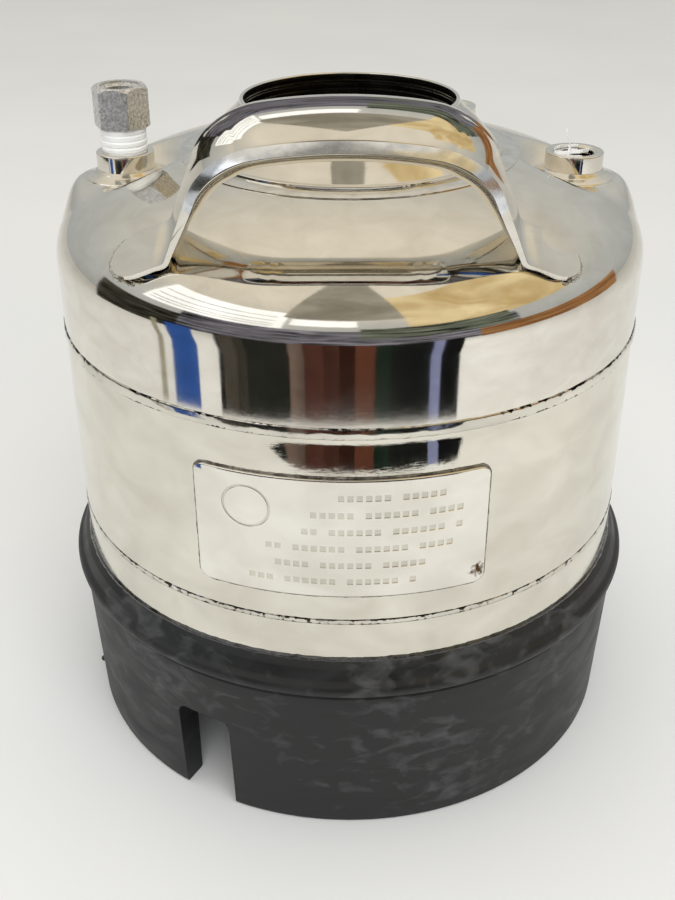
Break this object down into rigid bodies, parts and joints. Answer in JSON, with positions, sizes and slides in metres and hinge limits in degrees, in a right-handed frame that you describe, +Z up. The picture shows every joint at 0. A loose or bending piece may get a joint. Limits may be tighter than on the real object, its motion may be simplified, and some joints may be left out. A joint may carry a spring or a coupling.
{
  "type": "resin pressure pot",
  "caption": "Small welded stainless pressure pot with an open flared mouth, pipe ports, a strap handle and a moulded rubber boot.",
  "frame": {"origin": "on the vessel's vertical axis, at the floor, in the plane of the boot's lower edge", "axes": "+Z up along the vessel's axis, -Y to the front with the handle and the data plate, +X through the right port"},
  "size_m": [0.2422, 0.2422, 0.2774],
  "materials": {
    "polished_steel": "mirror polished stainless steel",
    "satin_steel": "buffed stainless steel with swirl marks",
    "weld_steel": "dressed weld metal",
    "tarnished_steel": "tarnished, grainy",
    "thread_seal_tape": "soft white thread seal tape",
    "black_rubber": "moulded, dusty",
    "sealant": "glossy bead"
  },
  "bodies": {
    "root": {"top_head": "polished_steel", "shell_band": "satin_steel", "bottom_head": "satin_steel", "upper_girth_weld": "weld_steel", "lower_girth_weld": "weld_steel", "long_seam_weld": "weld_steel", "neck_ring": "polished_steel", "neck_weld": "weld_steel", "left_port_coupling": "polished_steel", "right_port_coupling": "polished_steel", "rear_port_coupling": "polished_steel", "left_port_weld": "weld_steel", "right_port_weld": "weld_steel", "rear_port_weld": "weld_steel", "hex_adapter": "tarnished_steel", "thread_tape": "thread_seal_tape", "tape_scrap": "thread_seal_tape", "carry_handle": "polished_steel", "left_foot_weld": "weld_steel", "right_foot_weld": "weld_steel", "data_plate": "satin_steel", "plate_seam": "weld_steel", "rubber_boot": "black_rubber", "boot_sealant": "sealant"}
  },
  "joints": []
}
